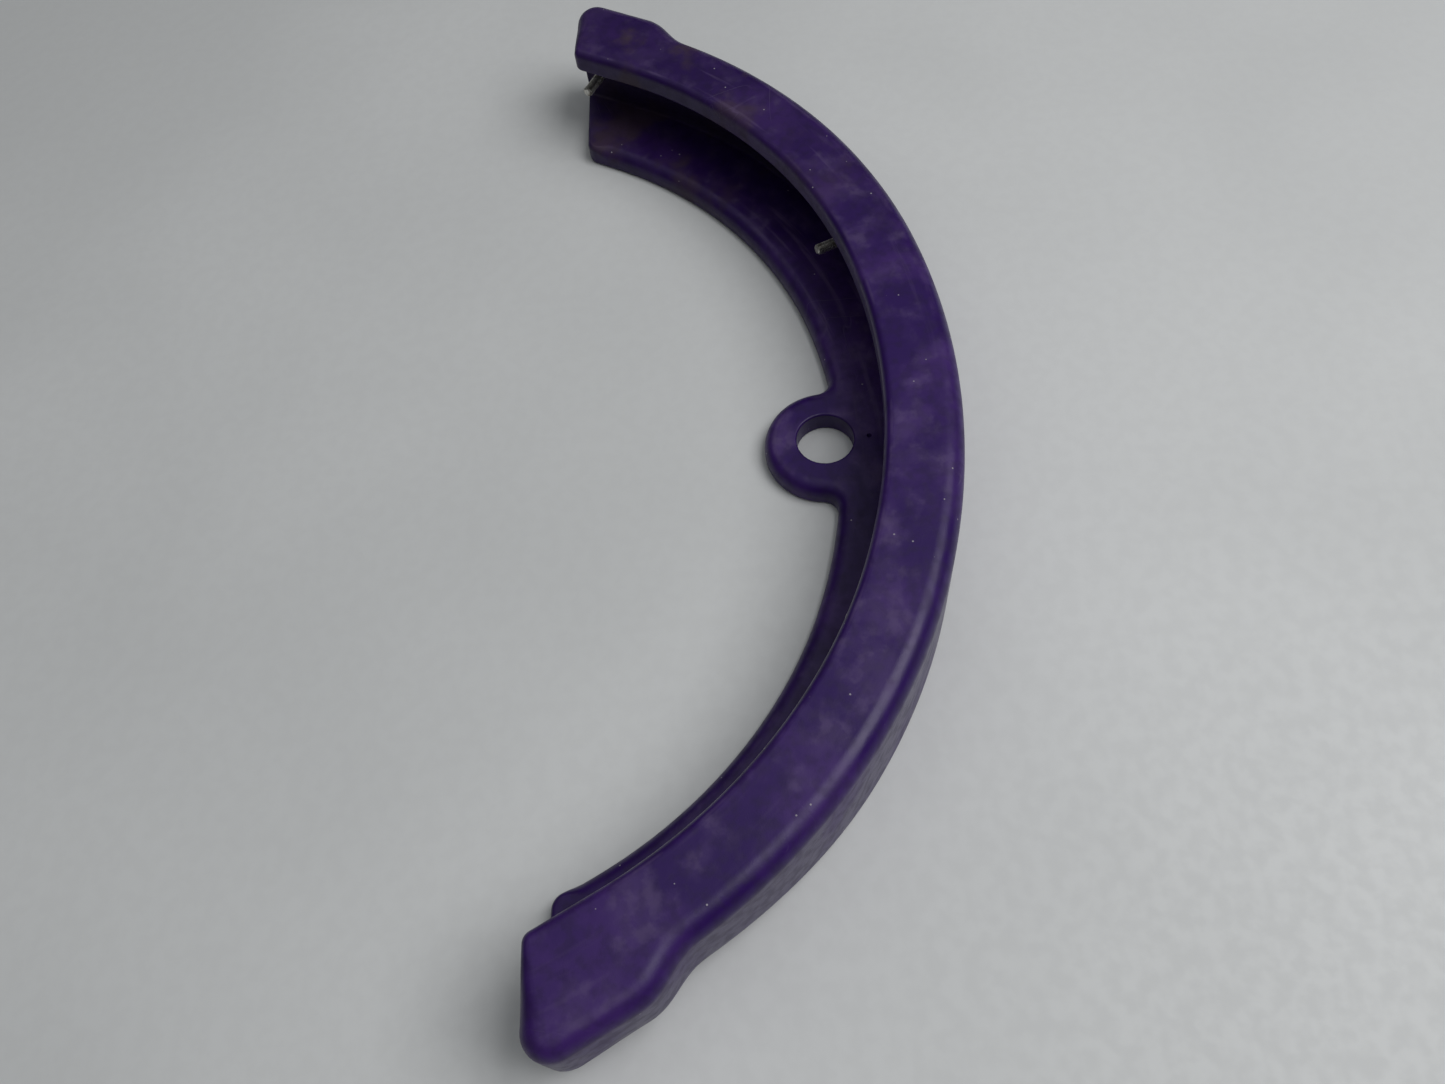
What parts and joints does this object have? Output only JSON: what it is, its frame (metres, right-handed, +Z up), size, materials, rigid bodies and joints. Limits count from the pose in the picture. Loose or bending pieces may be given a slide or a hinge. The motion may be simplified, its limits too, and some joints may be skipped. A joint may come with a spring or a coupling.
{
  "type": "curved edge bumper",
  "caption": "Arched C-section edge bumper moulding with an eye lug at mid-span, raised end pads and inward-facing threaded fixing studs.",
  "frame": {"origin": "on the axis of the lug's bore, at the level of the underside", "axes": "+X along the chord between the two ends, -Y towards the outer face at the middle of the bend, +Z up from the underside to the upper flange"},
  "size_m": [0.601, 0.2, 0.0635],
  "materials": {
    "purple_moulding": "satin, lightly scuffed",
    "zinc_steel": "dull zinc plate"
  },
  "bodies": {
    "root": {"bumper_moulding": "purple_moulding", "stud_mid_right": "zinc_steel", "stud_mid_left": "zinc_steel", "stud_end_right": "zinc_steel", "stud_end_left": "zinc_steel"}
  },
  "joints": []
}
